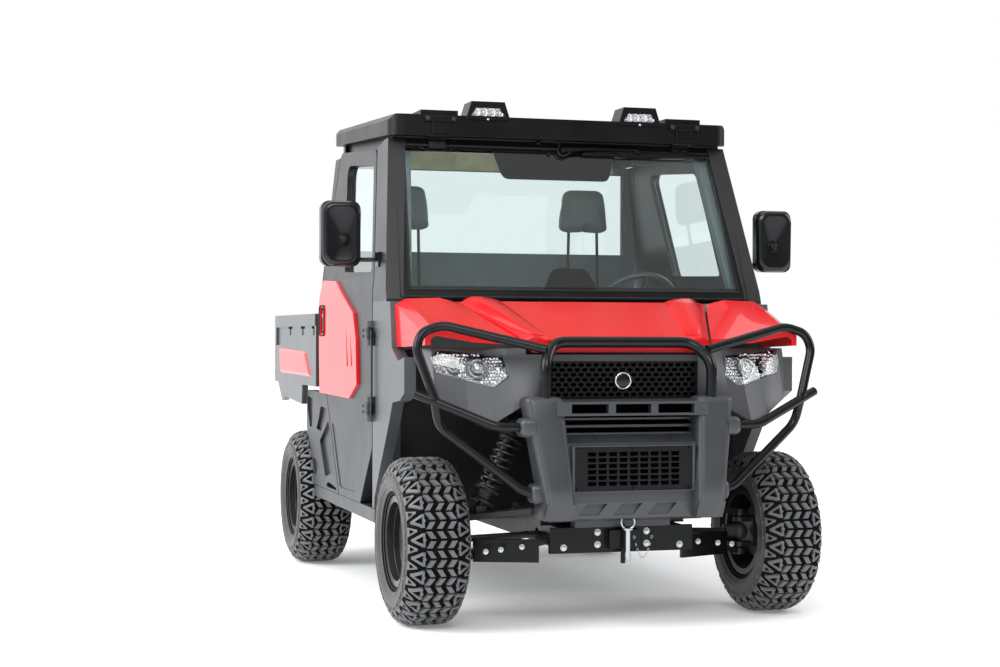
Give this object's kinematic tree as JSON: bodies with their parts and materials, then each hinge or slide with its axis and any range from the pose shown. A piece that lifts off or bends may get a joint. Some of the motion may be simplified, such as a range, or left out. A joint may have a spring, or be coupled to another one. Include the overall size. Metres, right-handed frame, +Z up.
{
  "type": "side by side utility vehicle",
  "caption": "Closed-cab side by side utility vehicle with tilting cargo bed, tubular front guard, opening doors and bonnet, and steered knobbly tyres.",
  "frame": {"origin": "on the ground under the middle of the overall box", "axes": "+Z up, the front faces -Y, +X is the driver side (the vehicle left)"},
  "size_m": [2.038, 3.142, 2.05],
  "materials": {
    "red_paint": "gloss",
    "moulded_grey": "fine grain",
    "frame_black": "satin",
    "roof_black": "satin",
    "steel_dark": "satin",
    "rim_black": "satin",
    "tyre": "matte",
    "glass": "clear, faint green tint",
    "lamp_lens": "clear",
    "seat_vinyl": "matte",
    "mirror_shell": "semi-gloss",
    "headliner_cloth": "matte",
    "machinery": "painted",
    "reflector": "polished"
  },
  "bodies": {
    "chassis": {"bed_rails": "frame_black", "bull_bar": "frame_black", "bumper": "moulded_grey", "cab_glass": "glass", "cab_posts": "frame_black", "cowl": "moulded_grey", "fenders": "red_paint", "floor_pan": "moulded_grey", "frame_crossmembers": "frame_black", "frame_rails": "frame_black", "frame_towers": "frame_black", "front_hitch": "frame_black", "front_mask": "moulded_grey", "front_sides": "moulded_grey", "grilles": "moulded_grey", "headlamp_lenses": "lamp_lens", "headlamps": "reflector", "headliner": "headliner_cloth", "headrests": "seat_vinyl", "mirrors": "mirror_shell", "powertrain": "machinery", "quarter_panels": "moulded_grey", "rear_carriers": "steel_dark", "rear_guard": "frame_black", "rear_hitch": "frame_black", "rear_wall": "roof_black", "roof": "roof_black", "roof_lamp_lenses": "lamp_lens", "roof_lamps": "roof_black", "roof_rails": "frame_black", "seat_box": "moulded_grey", "seats": "seat_vinyl", "shocks": "steel_dark", "sills": "moulded_grey", "suspension_arms": "steel_dark", "windscreen_frame": "frame_black"},
    "bonnet": {"bonnet": "red_paint"},
    "door_left": {"door_left": "moulded_grey", "door_glass_left": "glass", "door_trim_left": "red_paint"},
    "door_right": {"door_right": "moulded_grey", "door_glass_right": "glass", "door_trim_right": "red_paint"},
    "knuckle_left": {"knuckle_left": "steel_dark"},
    "knuckle_right": {"knuckle_right": "steel_dark"},
    "wheel_front_left": {"tyre_front_left": "tyre", "rim_front_left": "rim_black"},
    "wheel_front_right": {"tyre_front_right": "tyre", "rim_front_right": "rim_black"},
    "wheel_rear_left": {"tyre_rear_left": "tyre", "rim_rear_left": "rim_black"},
    "wheel_rear_right": {"tyre_rear_right": "tyre", "rim_rear_right": "rim_black"},
    "steering_wheel": {"steering_wheel": "moulded_grey"},
    "bed": {"bed": "moulded_grey", "bed_accents": "red_paint"},
    "tailgate": {"tailgate": "moulded_grey"}
  },
  "joints": [
    {"name": "bonnet_lift", "type": "hinge", "parent": "chassis", "child": "bonnet", "pos_m": [0, -0.925, 1.206], "axis": [-1, 0, 0], "range_deg": [0, 45]},
    {"name": "door_left_swing", "type": "hinge", "parent": "chassis", "child": "door_left", "pos_m": [0.812, -0.65, 1], "axis": [0, 0, -1], "range_deg": [0, 65]},
    {"name": "door_right_swing", "type": "hinge", "parent": "chassis", "child": "door_right", "pos_m": [-0.812, -0.65, 1], "axis": [0, 0, 1], "range_deg": [0, 65]},
    {"name": "steer_left", "type": "hinge", "parent": "chassis", "child": "knuckle_left", "pos_m": [0.6, -1.12, 0.318], "axis": [0, 0, 1], "range_deg": [-28, 28]},
    {"name": "steer_right", "type": "hinge", "parent": "chassis", "child": "knuckle_right", "pos_m": [-0.6, -1.12, 0.318], "axis": [0, 0, 1], "range_deg": [-28, 28]},
    {"name": "steering_wheel_turn", "type": "hinge", "parent": "chassis", "child": "steering_wheel", "pos_m": [0.421, -0.42, 1.225], "axis": [0, 0.766, 0.6428], "range_deg": [-338, 338]},
    {"name": "wheel_front_left_spin", "type": "hinge", "parent": "knuckle_left", "child": "wheel_front_left", "pos_m": [0.71, -1.12, 0.318], "axis": [1, 0, 0], "continuous": true},
    {"name": "wheel_front_right_spin", "type": "hinge", "parent": "knuckle_right", "child": "wheel_front_right", "pos_m": [-0.71, -1.12, 0.318], "axis": [1, 0, 0], "continuous": true},
    {"name": "wheel_rear_left_spin", "type": "hinge", "parent": "chassis", "child": "wheel_rear_left", "pos_m": [0.725, 0.93, 0.318], "axis": [1, 0, 0], "continuous": true},
    {"name": "wheel_rear_right_spin", "type": "hinge", "parent": "chassis", "child": "wheel_rear_right", "pos_m": [-0.725, 0.93, 0.318], "axis": [1, 0, 0], "continuous": true},
    {"name": "bed_tilt", "type": "hinge", "parent": "chassis", "child": "bed", "pos_m": [0, 1.475, 0.835], "axis": [-1, 0, 0], "range_deg": [0, 45]},
    {"name": "tailgate_drop", "type": "hinge", "parent": "bed", "child": "tailgate", "pos_m": [0, 1.566, 0.907], "axis": [-1, 0, 0], "range_deg": [0, 90]}
  ],
  "couplings": [
    {"joint": "steer_right", "follows": "steer_left", "ratio": 1},
    {"joint": "steering_wheel_turn", "follows": "steer_left", "ratio": 12}
  ]
}
